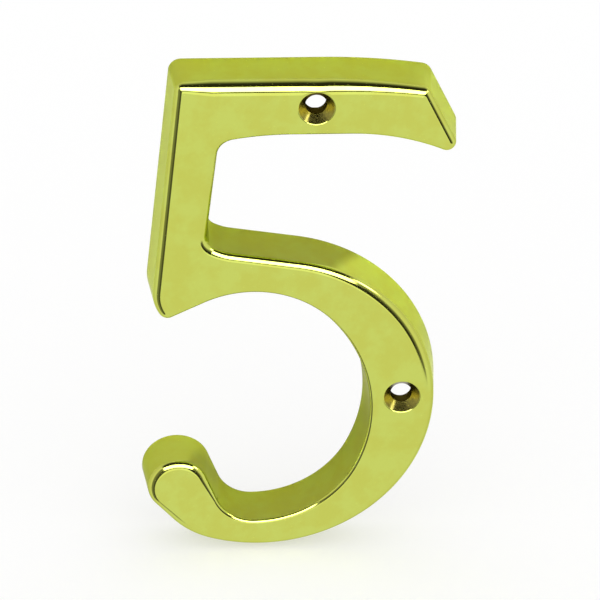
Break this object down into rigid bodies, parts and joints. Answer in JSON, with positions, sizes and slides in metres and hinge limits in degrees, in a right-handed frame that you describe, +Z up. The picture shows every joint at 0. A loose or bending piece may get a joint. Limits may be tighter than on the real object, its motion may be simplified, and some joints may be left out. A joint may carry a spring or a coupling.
{
  "type": "door number",
  "caption": "Cast brass numeral five with a polished flat face, leaning side walls and a hollow back, screwed flat to a door through countersunk holes",
  "frame": {"origin": "middle of the back outline, in the plane of the back rim that lies on the door", "axes": "+X to the right of the figure, +Y into the door, +Z up along the figure; the polished face looks along -Y"},
  "size_m": [0.0562, 0.009, 0.102],
  "materials": {
    "polished_brass": "polished"
  },
  "bodies": {
    "root": {"door_number": "polished_brass"}
  },
  "joints": []
}
